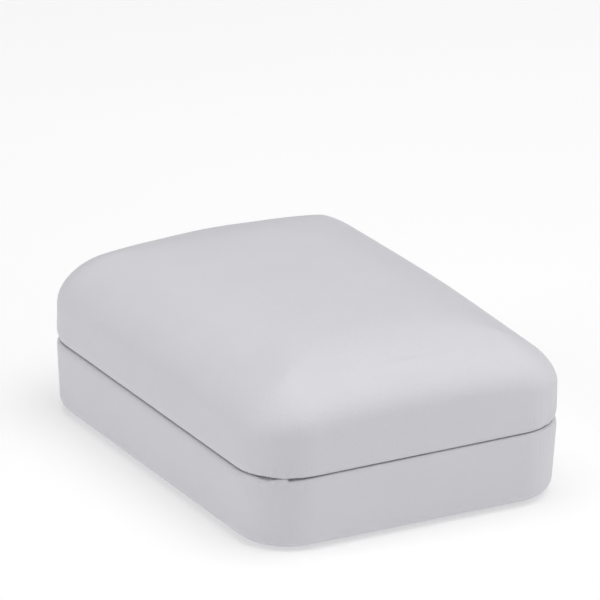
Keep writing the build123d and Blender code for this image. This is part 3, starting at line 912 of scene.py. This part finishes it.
def flocked_paper():
    """The sheet under the base: a short flock on paper."""
    make = Maker("flocked_sheet", (0.70, 0.69, 0.70), 0.95, Sheen_Weight=0.25, Sheen_Roughness=0.5)
    make.tint(make.noise(3 * MM, 4), (0.66, 0.65, 0.66), (0.73, 0.72, 0.73))
    make.bump(make.noise(0.16 * MM, 4), 0.06 * MM)
    return make.material


def velvet():
    """Short-pile velvet: brushed patches where the nap lies over, and a fine upright fibre."""
    make = Maker("white_velvet", VELVET, 0.92, Sheen_Weight=0.45, Sheen_Roughness=0.35)
    make.tint(make.noise(7 * MM, 5, (1, 1.6, 1)), shade(VELVET, 0.965), shade(VELVET, 1.02))
    make.bump(make.noise(3.5 * MM, 4), 0.10 * MM)
    make.bump(make.noise(0.22 * MM, 4), 0.07 * MM)
    return make.material


def satin():
    """Warp-faced satin: a soft gloss along the weave, and threads too fine to stand out."""
    make = Maker("white_satin", SATIN, 0.30, Sheen_Weight=0.08, Anisotropic=0.5)
    make.tint(make.noise(12 * MM, 2), shade(SATIN, 0.99), shade(SATIN, 1.01))
    make.vary_roughness(make.noise(8 * MM, 2), 0.26, 0.34)
    wrap = make.kept("wrap").outputs["Vector"]
    gather = make.kept("gather").outputs["Fac"]
    pleats = make.noise(1.9 * MM, 2, (1.0, 0.10, 1.0), wrap)
    make.bump(make.times(pleats, gather), 1.6 * MM)
    make.bump(make.noise(14 * MM, 2, (1, 0.35, 1)), 1.2 * MM)
    make.bump(make.noise(0.14 * MM, 2, (1, 0.12, 1)), 0.012 * MM)
    make.bump(make.noise(0.20 * MM, 1, (0.2, 1, 1)), 0.006 * MM)
    return make.material


def steel(name, colour, roughness, stretch):
    """Brushed steel, with its brushing drawn out along one axis."""
    make = Maker(name, colour, roughness, Metallic=1.0)
    make.tint(make.noise(2.5 * MM, 4), shade(colour, 0.95), colour)
    make.vary_roughness(make.noise(0.5 * MM, 2, stretch), roughness - 0.02, roughness + 0.04)
    make.bump(make.noise(0.12 * MM, 2, stretch), 0.0015 * MM)
    return make.material


def board():
    """Grey card with a fibrous face."""
    make = Maker("grey_board", (0.52, 0.50, 0.46), 0.9)
    make.tint(make.noise(0.7 * MM, 5, (1, 0.5, 1)), (0.45, 0.43, 0.39), (0.57, 0.55, 0.51))
    make.bump(make.noise(0.25 * MM, 4, (1, 0.4, 1)), 0.03 * MM)
    return make.material


def foam():
    """Open-celled cushion foam."""
    make = Maker("cushion_foam", (0.80, 0.78, 0.70), 0.95)
    make.tint(make.cells(0.6 * MM), (0.70, 0.67, 0.58), (0.84, 0.82, 0.75))
    make.bump(make.cells(0.5 * MM), 0.25 * MM)
    return make.material


def plastic():
    """Moulded grey plastic with a fine texture."""
    make = Maker("moulded_tray", (0.60, 0.60, 0.61), 0.5)
    make.vary_roughness(make.noise(0.6 * MM, 3), 0.45, 0.6)
    make.bump(make.noise(0.35 * MM, 3), 0.01 * MM)
    return make.material


def lit_table():
    """A white table that glows as well as reflects."""
    make = Maker("lit_white_table", FLOOR_GREY, 0.9, Emission_Strength=FLOOR_GLOW)
    make.shader.inputs["Emission Color"].default_value = (*WHITE, 1)
    make.tint(make.noise(200 * MM, 2), (0.595, 0.595, 0.595), (0.605, 0.605, 0.605))
    return make.material


def give(thing, material):
    """Sets one material on a piece or on a node of the frame."""
    if thing.material_slots:
        for place in thing.material_slots:
            place.material = material
    else:
        thing.data.materials.append(material)


# ---------------------------------------------------------------- the box

lid_cover = build_lid_cover()
base_cover = build_base_cover()
base_liner = build_liner(
    "base_velvet_lining", BASE_LINER_LOW, BASE_LINER_HIGH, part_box("base_liner_card")[1].z, 1
)
lid_liner = build_liner(
    "lid_velvet_lining", LID_LINER_LOW, LID_LINER_HIGH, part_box("lid_liner_card")[0].z, -1
)
insert_pad = build_insert()
satin_lining = build_satin()
spring = build_spring()

hinge_z = (PIN_LOW.z + PIN_HIGH.z) / 2
back_y = HALF_Y + OVERRUN
spring_x, spring_y_low, spring_y_high, spring_h = SPRING_ROOM
for skin in (base_cover, lid_cover):
    for room_y, room_h in ((back_y, KNUCKLE_ROOM), (LEAF_BAY_Y, LEAF_BAY_H)):
        low = (-HINGE_ROOM_X, HINGE_ROOM_Y, hinge_z - room_h)
        cut(skin, low, (HINGE_ROOM_X, room_y, hinge_z + room_h))
    skin.data.set_sharp_from_angle(angle=SKIN_SHARP)
for skin in (base_liner, lid_liner):
    low = (-spring_x, spring_y_low, hinge_z - spring_h)
    cut(skin, low, (spring_x, spring_y_high, hinge_z + spring_h))
    skin.data.set_sharp_from_angle(angle=SKIN_SHARP)

skin_material = leatherette()
velvet_material = velvet()
for piece in (lid_cover, base_cover):
    give(piece, skin_material)
for piece in (base_liner, lid_liner, insert_pad):
    give(piece, velvet_material)
give(satin_lining, satin())
give(spring, steel("spring_steel_strip", SPRING_STEEL, 0.34, (1, 1, 0.1)))

node_materials = {
    steel("plated_steel", PLATED_STEEL, 0.38, (0.1, 1, 1)): (
        "hinge_base_leaf",
        "hinge_lid_leaf",
        "hinge_base_rivets",
        "hinge_lid_rivets",
        "hinge_pin",
    ),
    board(): ("base_liner_card", "lid_liner_card", "insert_card", "lid_lining_board"),
    foam(): ("insert_foam", "lid_padding", "lid_lining_padding"),
    plastic(): ("base_shell", "lid_shell"),
    flocked_paper(): ("base_underside_sheet",),
}
for material, nodes in node_materials.items():
    for node in nodes:
        give(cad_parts[node], material)

# What each piece moves with, stands for and takes its finish from
for piece, body, node, finish in (
    (base_cover, "base", "base_cover", "leatherette"),
    (lid_cover, "lid", "lid_cover", "leatherette"),
    (base_liner, "base", "base_liner_velvet", "velvet"),
    (lid_liner, "lid", "lid_liner_velvet", "velvet"),
    (insert_pad, "insert", "insert_velvet", "velvet"),
    (satin_lining, "lid", "lid_satin", "satin"),
):
    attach(piece, body)
    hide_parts(node)
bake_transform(spring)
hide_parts("hinge_spring")


# ---------------------------------------------------------------- studio

corner_signs = ((-1, -1), (1, -1), (1, 1), (-1, 1))
floor_corners = [(x * FLOOR_REACH, y * FLOOR_REACH, 0) for x, y in corner_signs]
floor = make_object("studio_floor", floor_corners, [(0, 1, 2, 3)], smooth=False)
give(floor, lit_table())

world = bpy.data.worlds.new("studio_world")
world.use_nodes = True
sky = world.node_tree.nodes["Background"]
sky.inputs["Color"].default_value = (*WHITE, 1)
sky.inputs["Strength"].default_value = WORLD_STRENGTH
bpy.context.scene.world = world
bpy.context.scene.view_settings.view_transform = "Standard"


def softbox(name, toward, distance, size, power):
    """A square area light that faces the box."""
    lamp = bpy.data.lights.new(name, "AREA")
    lamp.shape = "SQUARE"
    lamp.size = size
    lamp.energy = power
    holder = bpy.data.objects.new(name, lamp)
    direction = Vector(toward).normalized()
    holder.location = direction * distance
    holder.rotation_euler = direction.to_track_quat("Z", "Y").to_euler()
    bpy.context.scene.collection.objects.link(holder)


for name, toward, distance, size, power in LIGHTS:
    softbox(name, toward, distance, size, power)


def place_camera():
    """A long lens, looking down on the corner between the +X end and the -Y side."""
    box_length = LID_HIGH.x - LID_LOW.x
    distance = BOX_LENGTHS_AWAY * box_length
    right = Vector((cos(AZIMUTH), sin(AZIMUTH), 0))
    up = Vector((-sin(AZIMUTH) * sin(ELEVATION), cos(AZIMUTH) * sin(ELEVATION), cos(ELEVATION)))
    back = Vector((sin(AZIMUTH) * cos(ELEVATION), -cos(AZIMUTH) * cos(ELEVATION), sin(ELEVATION)))
    cam_right = right * cos(ROLL) - up * sin(ROLL)
    cam_up = right * sin(ROLL) + up * cos(ROLL)
    target = Vector((0, 0, TARGET_RISE * box_length))
    view_width = distance * SENSOR / LENS
    aim = target - cam_right * (AIM_LEFT * view_width) + cam_up * (AIM_UP * view_width)
    eye = target + back * distance
    look = (eye - aim).normalized()
    side = cam_up.cross(look).normalized()
    turn = Matrix((side, look.cross(side), look)).transposed().to_4x4()
    lens = bpy.data.cameras.new("camera")
    lens.lens = LENS
    lens.sensor_width = SENSOR
    lens.clip_start = NEAREST
    lens.clip_end = FARTHEST
    camera = bpy.data.objects.new("camera", lens)
    camera.matrix_world = Matrix.Translation(eye) @ turn
    bpy.context.scene.collection.objects.link(camera)
    bpy.context.scene.camera = camera


place_camera()
